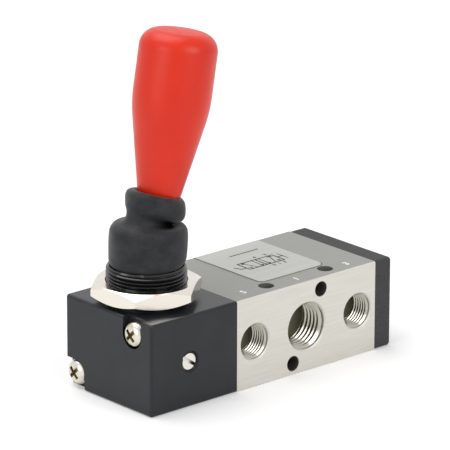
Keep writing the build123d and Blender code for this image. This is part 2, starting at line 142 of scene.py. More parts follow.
floor_half = 3.0
floor_white = 0.93
floor_glow = 0.2
floor_mesh = bpy.data.meshes.new("floor")
floor_corners = [(-1, -1), (1, -1), (1, 1), (-1, 1)]
floor_mesh.from_pydata(
    [(x * floor_half, y * floor_half, 0) for x, y in floor_corners], [], [(0, 1, 2, 3)]
)
floor = bpy.data.objects.new("floor", floor_mesh)
bpy.context.scene.collection.objects.link(floor)
floor_paint = bpy.data.materials.new("white_floor")
floor_paint.use_nodes = True
floor_tree = floor_paint.node_tree
floor_shader = floor_tree.nodes["Principled BSDF"]
floor_shader.inputs["Base Color"].default_value = (floor_white, floor_white, floor_white, 1)
floor_shader.inputs["Roughness"].default_value = 0.9
floor_shader.inputs["Specular IOR Level"].default_value = 0.0
floor_shader.inputs["Emission Color"].default_value = (1, 1, 1, 1)
glow = reckon(floor_tree, "MULTIPLY", seen_or_mirrored(floor_tree), floor_glow)
floor_tree.links.new(glow, floor_shader.inputs["Emission Strength"])
floor_mesh.materials.append(floor_paint)

# ---------------------------------------------------------------- valve body
# An extruded aluminium block, fine ground on its sides and a darker, duller grey on its top. Five
# tapped
# ports carry pipe threads: quarter inch for supply and outlets, eighth inch for the exhausts.
fixings = {fixing["name"]: fixing for fixing in frame["record"]["mounts"]}
body_low, body_high = (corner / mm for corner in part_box("valve_body"))
body_top = body_high.z
supply_port = fixings["supply_port"]
exhaust_ports = [fixings["exhaust_port_lever_end"], fixings["exhaust_port_cap_end"]]
outlet_ports = [fixings["outlet_port_lever_end"], fixings["outlet_port_cap_end"]]
port_height = supply_port["pos_m"][2] / mm
side_holes = fixings["side_mounting_holes"]
top_holes = fixings["top_mounting_holes"]


def linear(*shade):
    """A colour for a shader, from a colour given as 0 to 255."""
    return (
        *(((s / 255 + 0.055) / 1.055) ** 2.4 if s > 10 else s / 255 / 12.92 for s in shade), 1
    )


def start_finish(name, shade, roughness, metallic=0.0, **sockets):
    """A new material with one shader, and its tree and shader for the details that follow."""
    material = bpy.data.materials.new(name)
    material.use_nodes = True
    shader = material.node_tree.nodes["Principled BSDF"]
    shader.inputs["Base Color"].default_value = linear(*shade)
    shader.inputs["Roughness"].default_value = roughness
    shader.inputs["Metallic"].default_value = metallic
    for socket, value in sockets.items():
        shader.inputs[socket.replace("_", " ")].default_value = value
    return material, material.node_tree, shader


def grain(tree, stretch, detail=3.0, roughness=0.6):
    """A noise on the piece's own coordinates, with so many cells per metre each way."""
    place = tree.nodes.new("ShaderNodeTexCoord")
    spread = tree.nodes.new("ShaderNodeMapping")
    spread.inputs["Scale"].default_value = stretch
    noise = tree.nodes.new("ShaderNodeTexNoise")
    noise.inputs["Scale"].default_value = 1.0
    noise.inputs["Detail"].default_value = detail
    noise.inputs["Roughness"].default_value = roughness
    tree.links.new(place.outputs["Object"], spread.inputs["Vector"])
    tree.links.new(spread.outputs["Vector"], noise.inputs["Vector"])
    return noise.outputs["Fac"]


def shade_by(tree, value, stops):
    """A colour ramp over a value; the stops are (position, colour from 0 to 255)."""
    ramp = tree.nodes.new("ShaderNodeValToRGB")
    while len(ramp.color_ramp.elements) < len(stops):
        ramp.color_ramp.elements.new(0.5)
    for element, (position, shade) in zip(ramp.color_ramp.elements, stops):
        element.position = position
        element.color = linear(*shade)
    tree.links.new(value, ramp.inputs["Fac"])
    return ramp.outputs["Color"]


def level_by(tree, value, low, high):
    """Maps the middle half of a noise value to the range from low to high."""
    spread = tree.nodes.new("ShaderNodeMapRange")
    spread.inputs["From Min"].default_value = 0.3
    spread.inputs["From Max"].default_value = 0.7
    spread.inputs["To Min"].default_value = low
    spread.inputs["To Max"].default_value = high
    tree.links.new(value, spread.inputs["Value"])
    return spread.outputs["Result"]


def relief(tree, shader, value, depth, strength=1.0):
    """Raises a fine relief on the surface, of a depth in millimetres."""
    bump = tree.nodes.new("ShaderNodeBump")
    bump.inputs["Distance"].default_value = depth * mm
    bump.inputs["Strength"].default_value = strength
    tree.links.new(value, bump.inputs["Height"])
    tree.links.new(bump.outputs["Normal"], shader.inputs["Normal"])


def coordinates(tree):
    """The piece's own x, y and z at the shaded point, in metres."""
    place = tree.nodes.new("ShaderNodeTexCoord")
    parts = tree.nodes.new("ShaderNodeSeparateXYZ")
    tree.links.new(place.outputs["Object"], parts.inputs[0])
    return parts.outputs["X"], parts.outputs["Y"], parts.outputs["Z"]


def where_marked(tree, mark, inside, outside):
    """One colour where a mark is 1 and another where it is 0."""
    choice = tree.nodes.new("ShaderNodeMix")
    choice.data_type = "RGBA"
    tree.links.new(mark, choice.inputs[0])
    for socket, value in ((choice.inputs[6], outside), (choice.inputs[7], inside)):
        if isinstance(value, bpy.types.NodeSocket):
            tree.links.new(value, socket)
        else:
            socket.default_value = linear(*value)
    return choice.outputs[2]


def in_bores(tree, keep, bores):
    """1 inside round bores; keep is 0 along their axis, and a bore is a centre and radius."""
    place = tree.nodes.new("ShaderNodeTexCoord")
    flat = tree.nodes.new("ShaderNodeVectorMath")
    flat.operation = "MULTIPLY"
    flat.inputs[1].default_value = keep
    tree.links.new(place.outputs["Object"], flat.inputs[0])
    found = 0.0
    for centre, radius in bores:
        away = tree.nodes.new("ShaderNodeVectorMath")
        away.operation = "DISTANCE"
        away.inputs[1].default_value = Vector(centre) * Vector(keep) * mm
        tree.links.new(flat.outputs[0], away.inputs[0])
        inside = reckon(tree, "LESS_THAN", away.outputs["Value"], (radius + bore_margin) * mm)
        found = reckon(tree, "MAXIMUM", found, inside)
    return found


def dress(node, material):
    """Gives a CAD node a finish in place of its own."""
    slots = cad_nodes[node].data.materials
    slots.clear()
    slots.append(material)


bore_margin = 0.04
along_x, along_y, along_z = (0, 1, 1), (1, 0, 1), (1, 1, 0)
cross_hole_rise = 9.5
cross_hole_x = math.sqrt((side_holes["dims"]["pcd_mm"] / 2) ** 2 - cross_hole_rise**2)
cross_hole_radius = side_holes["dims"]["hole_r_mm"]
down_hole_radius = top_holes["dims"]["hole_r_mm"]
down_hole_x = top_holes["dims"]["spacing_x_mm"] / 2
down_hole_y = top_holes["pos_m"][1] / mm

bare_metallic, dull_metallic = 0.7, 0.1
ground_alloy, tree, shader = start_finish("ground_alloy", (214, 210, 202), 0.42, bare_metallic)
streaks = grain(tree, (90, 2500, 2500), detail=5)
side_shade = shade_by(tree, streaks, [(0.3, (206, 203, 195)), (0.7, (218, 215, 208))])
speckle = grain(tree, (5000, 5000, 5000), detail=2)
top_shade = shade_by(tree, speckle, [(0.3, (140, 141, 136)), (0.7, (154, 155, 150))])
_, at_y, at_z = coordinates(tree)
top_skin = 0.02
root_start = 1.0
threaded_depth = 7.0
on_top = reckon(tree, "GREATER_THAN", at_z, (body_top - top_skin) * mm)
below_top = reckon(tree, "LESS_THAN", at_z, (body_top - top_skin) * mm)
in_front = reckon(
    tree, "MULTIPLY", reckon(tree, "LESS_THAN", at_y, 0.0),
    reckon(tree, "GREATER_THAN", at_y, (body_low.y + root_start) * mm),
)
at_back = reckon(
    tree, "MULTIPLY", reckon(tree, "GREATER_THAN", at_y, 0.0),
    reckon(tree, "LESS_THAN", at_y, (body_high.y - root_start) * mm),
)


def port_bores(ports):
    """The centre, in millimetres, and radius of each port's bore."""
    return [(Vector(port["pos_m"]) / mm, port["dims"]["r_mm"]) for port in ports]


front_bores = in_bores(tree, along_y, port_bores([supply_port, *exhaust_ports]))
back_bores = in_bores(tree, along_y, port_bores(outlet_ports))
shaded_thread_roots = reckon(
    tree, "MAXIMUM", reckon(tree, "MULTIPLY", front_bores, in_front),
    reckon(tree, "MULTIPLY", back_bores, at_back),
)
shaded_cross_bores = in_bores(
    tree, along_y,
    [((s * cross_hole_x, 0, port_height + s * cross_hole_rise), cross_hole_radius)
     for s in (1, -1)],
)
shaded_down_bores = in_bores(
    tree, along_z, [((s * down_hole_x, down_hole_y, 0), down_hole_radius) for s in (1, -1)]
)
shaded_down_bores = reckon(tree, "MULTIPLY", shaded_down_bores, below_top)
body_shade = where_marked(tree, on_top, top_shade, side_shade)
# Painted shade: darker colours stand for the shade inside the ports and holes. The bore walls
# behind the threads are dark olive, the port floors olive grey, the top mounting holes grey and the
# cross holes dark grey.
body_shade = where_marked(tree, shaded_thread_roots, (64, 61, 50), body_shade)
from_middle = reckon(tree, "ABSOLUTE", at_y, 0.0)
shaded_port_floors = reckon(tree, "LESS_THAN", from_middle, (body_high.y - threaded_depth) * mm)
shaded_port_floors = reckon(tree, "MULTIPLY", shaded_thread_roots, shaded_port_floors)
body_shade = where_marked(tree, shaded_port_floors, (152, 148, 128), body_shade)
body_shade = where_marked(tree, shaded_down_bores, (118, 118, 112), body_shade)
body_shade = where_marked(tree, shaded_cross_bores, (84, 79, 74), body_shade)
tree.links.new(body_shade, shader.inputs["Base Color"])
# The top is made less metallic, and so are the mounting holes as part of their painted shade.
coloured = reckon(tree, "MAXIMUM", reckon(tree, "MAXIMUM", on_top, shaded_cross_bores), shaded_down_bores)
metal_share = tree.nodes.new("ShaderNodeMapRange")
metal_share.inputs["To Min"].default_value = bare_metallic
metal_share.inputs["To Max"].default_value = dull_metallic
tree.links.new(coloured, metal_share.inputs["Value"])
tree.links.new(metal_share.outputs["Result"], shader.inputs["Metallic"])
tree.links.new(level_by(tree, streaks, 0.38, 0.5), shader.inputs["Roughness"])
relief(tree, shader, streaks, 0.003)
dress("valve_body", ground_alloy)


def add_node(tree, kind, feeds=(), **settings):
    """Adds a node to a geometry tree; the feeds are (input, value or socket)."""
    node = tree.nodes.new(kind)
    for setting, value in settings.items():
        setattr(node, setting, value)
    for socket, value in feeds:
        if isinstance(value, bpy.types.NodeSocket):
            tree.links.new(value, node.inputs[socket])
        else:
            node.inputs[socket].default_value = value
    return node


def start_geometry_tree(name, sizes):
    """A geometry tree with named inputs, and its input and output nodes."""
    tree = bpy.data.node_groups.new(name, "GeometryNodeTree")
    tree.interface.new_socket(name="Geometry", in_out="INPUT", socket_type="NodeSocketGeometry")
    for size_name, kind in sizes:
        tree.interface.new_socket(name=size_name, in_out="INPUT", socket_type="NodeSocket" + kind)
    tree.interface.new_socket(name="Geometry", in_out="OUTPUT", socket_type="NodeSocketGeometry")
    return tree, tree.nodes.new("NodeGroupInput"), tree.nodes.new("NodeGroupOutput")


def grow(tree, places, sizes):
    """The plain mesh that a geometry tree makes at some places, given in millimetres."""
    seeds = bpy.data.meshes.new("seeds")
    seeds.from_pydata([Vector(p) * mm for p in places], [], [])
    carrier = bpy.data.objects.new("carrier", seeds)
    bpy.context.scene.collection.objects.link(carrier)
    modifier = carrier.modifiers.new("grown", "NODES")
    modifier.node_group = tree
    for item in tree.interface.items_tree:
        if item.item_type == "SOCKET" and item.in_out == "INPUT" and item.name in sizes:
            modifier[item.identifier] = sizes[item.name]
    depsgraph = bpy.context.evaluated_depsgraph_get()
    mesh = bpy.data.meshes.new_from_object(carrier.evaluated_get(depsgraph), depsgraph=depsgraph)
    bpy.data.objects.remove(carrier)
    return mesh


def set_piece(name, meshes, body, replaced=(), sharp=35, level_flats=False):
    """Joins meshes to one piece that rides on a body and takes a finish slot."""
    work = bmesh.new()
    materials = []
    for mesh in meshes:
        numbers = []
        for material in mesh.materials:
            if material not in materials:
                materials.append(material)
            numbers.append(materials.index(material))
        first_new = len(work.faces)
        work.from_mesh(mesh)
        work.faces.ensure_lookup_table()
        for face in work.faces[first_new:]:
            face.material_index = numbers[face.material_index]
    joined = bpy.data.meshes.new(name)
    work.to_mesh(joined)
    work.free()
    for material in materials:
        joined.materials.append(material)
    joined.shade_smooth()
    joined.set_sharp_from_angle(angle=math.radians(sharp))
    piece = bpy.data.objects.new(name, joined)
    bpy.context.scene.collection.objects.link(piece)
    if level_flats:
        level = piece.modifiers.new("level_flats", "WEIGHTED_NORMAL")
        level.keep_sharp = True
        depsgraph = bpy.context.evaluated_depsgraph_get()
        shown = piece.evaluated_get(depsgraph)
        levelled = bpy.data.meshes.new_from_object(shown, depsgraph=depsgraph)
        piece.modifiers.remove(level)
        piece.data = levelled
    if body:
        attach(piece, body)
    if replaced:
        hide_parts(*replaced)
    return piece


# A thread is a ridge swept along a helix, which runs out to nothing at both ends. It grows
# inwards in a bore and outwards on a neck.
thread_tree, sizes_in, grown_out = start_geometry_tree(
    "helical_thread",
    [("Root radius", "Float"), ("Pitch", "Float"), ("Length", "Float"), ("Ridge", "Float"),
     ("Crest", "Float"), ("Inward", "Float"), ("Start", "Float"), ("Turn", "Vector"),
     ("Finish", "Material")],
)
size = sizes_in.outputs
steps_a_turn = 64
ridge_base_share = 0.97
run_out_rate = 12.0
weld_distance = 1e-7
helix = add_node(
    thread_tree,
    "GeometryNodeCurveSpiral",
    [("Resolution", steps_a_turn), ("Height", size["Length"]),
     ("Rotations", reckon(thread_tree, "DIVIDE", size["Length"], size["Pitch"])),
     ("Start Radius", size["Root radius"]), ("End Radius", size["Root radius"])],
)
level_helix = add_node(
    thread_tree, "GeometryNodeSetCurveNormal", [("Curve", helix.outputs[0])], mode="Z_UP"
)
flank = add_node(
    thread_tree,
    "GeometryNodeCurvePrimitiveQuadrilateral",
    [("Height", size["Ridge"]), ("Offset", 0.0),
     ("Bottom Width", reckon(thread_tree, "MULTIPLY", size["Pitch"], ridge_base_share)),
     ("Top Width", reckon(thread_tree, "MULTIPLY", size["Pitch"], size["Crest"]))],
    mode="TRAPEZOID",
)
half_ridge = reckon(thread_tree, "MULTIPLY", size["Ridge"], 0.5)
lift = add_node(thread_tree, "ShaderNodeCombineXYZ", [("Y", half_ridge)])
stand = add_node(
    thread_tree, "GeometryNodeTransform", [(0, flank.outputs[0]), ("Translation", lift.outputs[0])]
)
quarter_turn = reckon(thread_tree, "MULTIPLY", size["Inward"], -math.pi / 2)
tip = add_node(thread_tree, "ShaderNodeCombineXYZ", [("Z", quarter_turn)])
profile = add_node(
    thread_tree, "GeometryNodeTransform", [(0, stand.outputs[0]), ("Rotation", tip.outputs[0])]
)
along = add_node(thread_tree, "GeometryNodeSplineParameter").outputs["Factor"]
nearer_end = reckon(thread_tree, "MINIMUM", along, reckon(thread_tree, "SUBTRACT", 1.0, along))
run_out = reckon(thread_tree, "MULTIPLY", nearer_end, run_out_rate)
run_out.node.use_clamp = True
ridge = add_node(
    thread_tree,
    "GeometryNodeCurveToMesh",
    [("Curve", level_helix.outputs[0]), ("Profile Curve", profile.outputs[0]), ("Scale", run_out),
     ("Fill Caps", True)],
)
closed = add_node(
    thread_tree, "GeometryNodeMergeByDistance",
    [("Geometry", ridge.outputs[0]), ("Distance", weld_distance)],
)
start_at = add_node(thread_tree, "ShaderNodeCombineXYZ", [("Z", size["Start"])])
begun = add_node(
    thread_tree, "GeometryNodeTransform",
    [(0, closed.outputs[0]), ("Translation", start_at.outputs[0])],
)
at_ports = add_node(
    thread_tree,
    "GeometryNodeInstanceOnPoints",
    [("Points", size["Geometry"]), ("Instance", begun.outputs[0]), ("Rotation", size["Turn"])],
)
made = add_node(thread_tree, "GeometryNodeRealizeInstances", [(0, at_ports.outputs[0])])
finished = add_node(
    thread_tree, "GeometryNodeSetMaterial",
    [("Geometry", made.outputs[0]), ("Material", size["Finish"])],
)
thread_tree.links.new(finished.outputs[0], grown_out.inputs[0])

cut_alloy, tree, shader = start_finish("cut_alloy", (180, 177, 166), 0.2, metallic=1.0)
relief(tree, shader, grain(tree, (3000, 3000, 3000)), 0.008, 0.4)
quarter_inch = {"Pitch": 1.337 * mm, "Ridge": 0.82 * mm, "Length": 8.2 * mm}
eighth_inch = {"Pitch": 0.907 * mm, "Ridge": 0.55 * mm, "Length": 6.4 * mm}
port_thread_start = 0.55
port_thread_crest = 0.16
into_front, into_back = (-math.pi / 2, 0, 0), (math.pi / 2, 0, 0)
port_threads = []
for ports, face_y, turn_in, tap in (
    ([supply_port], body_low.y, into_front, quarter_inch),
    (exhaust_ports, body_low.y, into_front, eighth_inch),
    (outlet_ports, body_high.y, into_back, quarter_inch),
):
    mouths = [(port["pos_m"][0] / mm, face_y, port_height) for port in ports]
    port_threads.append(grow(thread_tree, mouths, {
        **tap, "Root radius": ports[0]["dims"]["r_mm"] * mm, "Crest": port_thread_crest,
        "Inward": 1.0, "Start": port_thread_start * mm, "Turn": turn_in, "Finish": cut_alloy,
    }))
set_piece("port_threads", port_threads, "valve")

number_paint, tree, shader = start_finish("number_paint", (246, 246, 244), 0.5)
relief(tree, shader, grain(tree, (4000, 4000, 4000)), 0.01, 0.5)


def print_number(text, height, x, y, z, material, lift=0.02, bolder=0.0):
    """The mesh of a printed number that lies flat at a place, in millimetres."""
    letters = bpy.data.curves.new("letters", "FONT")
    letters.body = text
    letters.size = height * mm
    letters.align_x = "CENTER"
    letters.align_y = "CENTER"
    letters.extrude = lift / 2 * mm
    letters.offset = bolder * mm
    carrier = bpy.data.objects.new("carrier", letters)
    bpy.context.scene.collection.objects.link(carrier)
    depsgraph = bpy.context.evaluated_depsgraph_get()
    mesh = bpy.data.meshes.new_from_object(carrier.evaluated_get(depsgraph), depsgraph=depsgraph)
    bpy.data.objects.remove(carrier)
    mesh.transform(Matrix.Translation(Vector((x, y, z + lift / 2)) * mm))
    mesh.materials.clear()
    mesh.materials.append(material)
    return mesh


port_number_height = 3.0
number_weight = 0.09
port_number_places = (("5", -18.8, -12.8), ("1", -0.8, -14.0), ("3", 18.0, -13.6))
set_piece(
    "port_numbers",
    [
        print_number(text, port_number_height, x, y, body_top, number_paint, bolder=number_weight)
        for text, x, y in port_number_places
    ],
    "valve",
)

# ---------------------------------------------------------------- label plate
# A thin metal foil plate glued on the body's top, with the graphic symbol of a valve with five
# ports and two positions printed on it in dark grey, and a painted shade along its left and front
# edges.
plate_foil, tree, shader = start_finish("plate_foil", (190, 191, 186), 0.42, metallic=0.3)
brushing = grain(tree, (40, 2400, 1500))
foil_shade = shade_by(tree, brushing, [(0.3, (180, 181, 176)), (0.7, (192, 193, 188))])
tree.links.new(foil_shade, shader.inputs["Base Color"])
relief(tree, shader, grain(tree, (3000, 3000, 3000)), 0.006, 0.5)
dress("label_plate", plate_foil)

ink_and_edge_shade, tree, shader = start_finish("ink_and_edge_shade", (36, 37, 38), 0.6, Specular_IOR_Level=0.2)
relief(tree, shader, grain(tree, (4000, 4000, 4000)), 0.01, 0.5)
plate_low, plate_high = (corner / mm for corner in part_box("label_plate"))
plate_top = plate_high.z
box_line = 0.42
arrow_line = 0.3
edge_line = 0.2
mark_lift = 0.015


def dark_bar(work, start, end, width):
    """Adds a thin raised bar between two points of the plate to a mesh, in millimetres."""
    start, end = Vector(start), Vector(end)
    run = (end - start).normalized()
    side = Vector((-run.y, run.x)) * width / 2
    reach = run * width / 2
    outline = [start - reach - side, end + reach - side, end + reach + side, start - reach + side]
    lower = [work.verts.new(Vector((c.x, c.y, plate_top)) * mm) for c in outline]
    upper = [work.verts.new(Vector((c.x, c.y, plate_top + mark_lift)) * mm) for c in outline]
    work.faces.new(upper)
    work.faces.new(lower[::-1])
    for k in range(4):
        work.faces.new((lower[k], lower[(k + 1) % 4], upper[(k + 1) % 4], upper[k]))


def ink_arrow(work, start, end, width, head):
    """Adds a line with an arrow head at its end."""
    dark_bar(work, start, end, width)
    run = (Vector(start) - Vector(end)).normalized()
    for barb_turn in (30, -30):
        barb = run.copy()
        barb.rotate(Matrix.Rotation(math.radians(barb_turn), 2))
        dark_bar(work, end, Vector(end) + barb * head, width)


# Two boxes side by side, one for each position, with the ways through the valve in them. The
# lever's mark is at their left and the detent's at their right.
plate_marks = bmesh.new()
box_left, box_low, box_width, box_high = -5.2, -0.3, 6.3, 5.2
box_top = box_low + box_high
box_middle, box_right = box_left + box_width, box_left + 2 * box_width
for x in (box_left, box_middle, box_right):
    dark_bar(plate_marks, (x, box_low), (x, box_top), box_line)
for y in (box_low, box_top):
    dark_bar(plate_marks, (box_left, y), (box_right, y), box_line)
ways = [box_width * share for share in (0.2, 0.5, 0.8)]
arrow_head = 1.2
stop_height, stop_half = 1.1, 0.55
for start, end in (
    ((box_left + ways[1], box_low), (box_left + ways[0], box_top)),
    ((box_left + ways[2], box_top), (box_left + ways[2], box_low)),
    ((box_middle + ways[1], box_low), (box_middle + ways[2], box_top)),
    ((box_middle + ways[0], box_top), (box_middle + ways[0], box_low)),
):
    ink_arrow(plate_marks, start, end, arrow_line, arrow_head)
for stop_x in (box_left + ways[0], box_middle + ways[2]):
    stop_top = box_low + stop_height
    dark_bar(plate_marks, (stop_x, box_low), (stop_x, stop_top), arrow_line)
    dark_bar(plate_marks, (stop_x - stop_half, stop_top), (stop_x + stop_half, stop_top), arrow_line)
lever_mark_x, lever_mark_y = box_left - 1.7, box_low + 1.4
detent_mark_x, detent_mark_y = box_right + 1.8, box_low + 2.9
dark_bar(plate_marks, (lever_mark_x, lever_mark_y), (box_left, lever_mark_y), box_line)
dark_bar(plate_marks, (lever_mark_x, lever_mark_y), (lever_mark_x - 0.8, lever_mark_y + 2.2), box_line)
dark_bar(plate_marks, (box_right, detent_mark_y), (detent_mark_x, detent_mark_y), box_line)
dark_bar(plate_marks, (detent_mark_x, box_low + 0.6), (detent_mark_x, box_top - 0.2), arrow_line)
rule_left, rule_right, rule_y = -2.2, 7.8, 11.2
dark_bar(plate_marks, (rule_left, rule_y), (rule_right, rule_y), box_line)

# Painted shade: a dark bar in the print's colour runs along the plate's left and front edges and
# round its two front corners, for the shade at the plate's edge.
corner_round = 2.0
corner_steps = 6
reach = corner_round - edge_line / 2
corner_y = plate_low.y + corner_round
edge_path = [(plate_low.x + edge_line / 2, plate_high.y - edge_line)]
for corner_x, first_turn in (
    (plate_low.x + corner_round, 180), (plate_high.x - corner_round, 270)
):
    for step in range(corner_steps + 1):
        swing = math.radians(first_turn + 90 * step / corner_steps)
        edge_path.append((corner_x + reach * math.cos(swing), corner_y + reach * math.sin(swing)))
for start, end in zip(edge_path, edge_path[1:]):
    dark_bar(plate_marks, start, end, edge_line)
symbol = bpy.data.meshes.new("symbol")
plate_marks.to_mesh(symbol)
plate_marks.free()
symbol.materials.append(ink_and_edge_shade)
figure_height = 1.9
figure_weight = 0.03
figure_gap = 1.5
figures = [
    print_number(text, figure_height, x, y, plate_top, ink_and_edge_shade, mark_lift, figure_weight)
    for text, x, y in (
        ("4", box_middle + ways[0], box_top + figure_gap),
        ("2", box_middle + ways[2], box_top + figure_gap),
        ("5", box_middle + ways[0], box_low - figure_gap),
        ("1", box_middle + ways[1], box_low - figure_gap),
        ("3", box_middle + ways[2], box_low - figure_gap),
    )
]
set_piece("plate_symbol", [symbol, *figures], "valve")

# ---------------------------------------------------------------- lever housing
# A block of gloss black enamelled alloy. Its round neck goes through a panel and carries a fine
# external thread for the panel nut.
def copied(node, weld=1e-6):
    """A welded copy of a CAD node's mesh, as a bmesh."""
    work = bmesh.new()
    work.from_mesh(cad_nodes[node].data)
    bmesh.ops.remove_doubles(work, verts=work.verts, dist=weld)
    for layer in list(work.loops.layers.uv.values()):
        work.loops.layers.uv.remove(layer)
    return work


gloss_black, tree, shader = start_finish(
    "gloss_black_enamel", (36, 38, 42), 0.28,
    Coat_Weight=0.05, Coat_Roughness=0.1, Specular_IOR_Level=0.26,
)
uneven = grain(tree, (120, 120, 120))
enamel_shade = shade_by(tree, uneven, [(0.3, (33, 35, 39)), (0.7, (39, 41, 45))])
orange_peel = grain(tree, (900, 900, 900), detail=2)
relief(tree, shader, orange_peel, 0.015, 0.3)

joints = {joint["name"]: joint for joint in frame["record"]["behaviour"]["joints"]}
neck_x = joints["lever_rock"]["pos_m"][0] / mm
neck_radius = fixings["panel_neck"]["dims"]["r_mm"]
# Painted shade: the recesses of the two screws and the rim round the set screw are coloured near
# black inside, for the shade in them.
head_radius, head_height = 3.5, 2.9
recess_radius = 3.85
rim_radius, rim_drop = 3.05, 0.1
face_skin, floor_skin = 0.1, 0.3
long_low, long_high = (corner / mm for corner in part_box("housing_screws"))
housing_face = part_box("lever_housing")[0].x / mm
at_x, at_y, _ = coordinates(tree)
shaded_recesses = in_bores(tree, along_x, [
    ((0, long_low.y + head_radius, long_high.z - head_radius), recess_radius),
    ((0, long_high.y - head_radius, long_low.z + head_radius), recess_radius),
])
behind_face = reckon(tree, "GREATER_THAN", at_x, (housing_face + face_skin) * mm)
before_floor = reckon(tree, "LESS_THAN", at_x, (long_low.x + head_height + floor_skin) * mm)
shaded_recesses = reckon(tree, "MULTIPLY", shaded_recesses, reckon(tree, "MULTIPLY", behind_face, before_floor))
shaded_screw_rim = in_bores(tree, along_y, [((neck_x, 0, port_height - rim_drop), rim_radius)])
shaded_screw_rim = reckon(tree, "MULTIPLY", shaded_screw_rim, reckon(tree, "LESS_THAN", at_y, 0.0))
enamel_shade = where_marked(tree, shaded_recesses, (8, 8, 9), enamel_shade)
enamel_shade = where_marked(tree, shaded_screw_rim, (6, 6, 7), enamel_shade)
tree.links.new(enamel_shade, shader.inputs["Base Color"])

thread_black, tree, shader = start_finish("thread_black", (7, 7, 8), 0.1, Specular_IOR_Level=0.5)
relief(tree, shader, grain(tree, (2500, 2500, 2500)), 0.006, 0.4)
neck_height = fixings["panel_neck"]["dims"]["length_mm"]
neck_root = 10.25
neck_crest = neck_radius - 0.12
neck_pitch = 1.0
neck_thread_crest = 0.14
neck_thread_start = 0.4
neck_thread_end = 0.3
on_wall = 0.02
thread_finish_from = 0.5
deck = body_top
# The neck's outer wall is drawn in to the thread's root, and the thread is grown on it.
housing = copied("lever_housing")
for corner in housing.verts:
    x, y, z = (value / mm for value in corner.co)
    out = math.hypot(x - neck_x, y)
    if abs(out - neck_radius) < on_wall and z > deck - on_wall / 2:
        corner.co.x = (neck_x + (x - neck_x) * neck_root / out) * mm
        corner.co.y = y * neck_root / out * mm
for face in housing.faces:
    height = face.calc_center_median().z
    face.material_index = 1 if height > (deck + thread_finish_from) * mm else 0
flat_limit = math.radians(0.3)
bmesh.ops.dissolve_limit(
    housing, angle_limit=flat_limit, verts=housing.verts, edges=housing.edges,
    delimit={"MATERIAL"},
)
housing_mesh = bpy.data.meshes.new("housing")
housing.to_mesh(housing_mesh)
housing.free()
housing_mesh.materials.append(gloss_black)
housing_mesh.materials.append(thread_black)
neck_thread = grow(
    thread_tree,
    [(neck_x, 0, deck)],
    {"Root radius": neck_root * mm, "Pitch": neck_pitch * mm,
     "Ridge": (neck_crest - neck_root) * mm, "Crest": neck_thread_crest,
     "Length": (neck_height - neck_thread_start - neck_thread_end) * mm, "Inward": -1.0,
     "Start": neck_thread_start * mm, "Turn": (0, 0, 0), "Finish": thread_black},
)
set_piece(
    "housing_block", [housing_mesh, neck_thread], "valve", ["lever_housing"],
    sharp=28, level_flats=True,
)

# ---------------------------------------------------------------- panel nut
# A thin hexagon nut, turned on both faces and bright nickel plated. It clamps the panel.
bright_nickel, tree, shader = start_finish("bright_nickel", (228, 222, 212), 0.2, metallic=1.0)
nickel_wear = grain(tree, (700, 700, 2500), detail=3)
tree.links.new(level_by(tree, nickel_wear, 0.14, 0.26), shader.inputs["Roughness"])
relief(tree, shader, nickel_wear, 0.006, 0.6)
dress("panel_nut", bright_nickel)

# ---------------------------------------------------------------- rubber boot
# A moulded rubber boot keeps dust out. Its foot sits in the neck's mouth and its cuff grips the
# lever under the grip. The lever leans over the body, so it creases there and stretches behind.
soft_rubber, tree, shader = start_finish("soft_rubber", (38, 39, 42), 0.6, Sheen_Roughness=0.4)
mottle = grain(tree, (220, 220, 320), detail=5)
rubber_shade = shade_by(tree, mottle, [(0.32, (27, 29, 32)), (0.68, (50, 50, 53))])
tree.links.new(level_by(tree, grain(tree, (300, 300, 300)), 0.52, 0.68), shader.inputs["Roughness"])
relief(tree, shader, grain(tree, (1500, 1500, 1500)), 0.03, 0.35)
# Painted shade on the tight side of the crease: near its sloping plane, close to the waist's axis
# and on the side that the lever leans to, the rubber is coloured near black and loses its specular
# and sheen. Each row has the distances for all of it and for none.
crease_height, crease_slope, waist_x = 47.6, 0.31, 1.0
plane_reach, axis_reach, side_reach = (1.5, 3.0), (6.0, 8.4), (-3.0, 3.5)
unshaded_specular, unshaded_sheen = 0.22, 0.25
at_x, at_y, at_z = coordinates(tree)
along_slope = reckon(tree, "MULTIPLY", reckon(tree, "SUBTRACT", at_x, neck_x * mm), crease_slope)
above_plane = reckon(
    tree, "SUBTRACT", reckon(tree, "ADD", at_z, along_slope), crease_height * mm
)
from_waist = reckon(tree, "SUBTRACT", at_x, (neck_x + waist_x) * mm)
out_squared = reckon(
    tree, "ADD", reckon(tree, "MULTIPLY", from_waist, from_waist),
    reckon(tree, "MULTIPLY", at_y, at_y),
)
crease_shade = 1.0
for distance, (full, none) in (
    (reckon(tree, "ABSOLUTE", above_plane, 0.0), plane_reach),
    (reckon(tree, "SQRT", out_squared, 0.0), axis_reach),
    (reckon(tree, "SUBTRACT", neck_x * mm, at_x), side_reach),
):
    fade = tree.nodes.new("ShaderNodeMapRange")
    fade.interpolation_type = "SMOOTHSTEP"
    fade.inputs["From Min"].default_value = full * mm
    fade.inputs["From Max"].default_value = none * mm
    fade.inputs["To Min"].default_value = 1.0
    fade.inputs["To Max"].default_value = 0.0
    tree.links.new(distance, fade.inputs["Value"])
    crease_shade = reckon(tree, "MULTIPLY", crease_shade, fade.outputs["Result"])
# The painted shade darkens the rubber here and takes away its specular and sheen.
crease_shaded_rubber = where_marked(tree, crease_shade, (12, 12, 13), rubber_shade)
tree.links.new(crease_shaded_rubber, shader.inputs["Base Color"])
unshaded = reckon(tree, "SUBTRACT", 1.0, crease_shade)
for socket, level in (("Specular IOR Level", unshaded_specular), ("Sheen Weight", unshaded_sheen)):
    tree.links.new(reckon(tree, "MULTIPLY", unshaded, level), shader.inputs[socket])

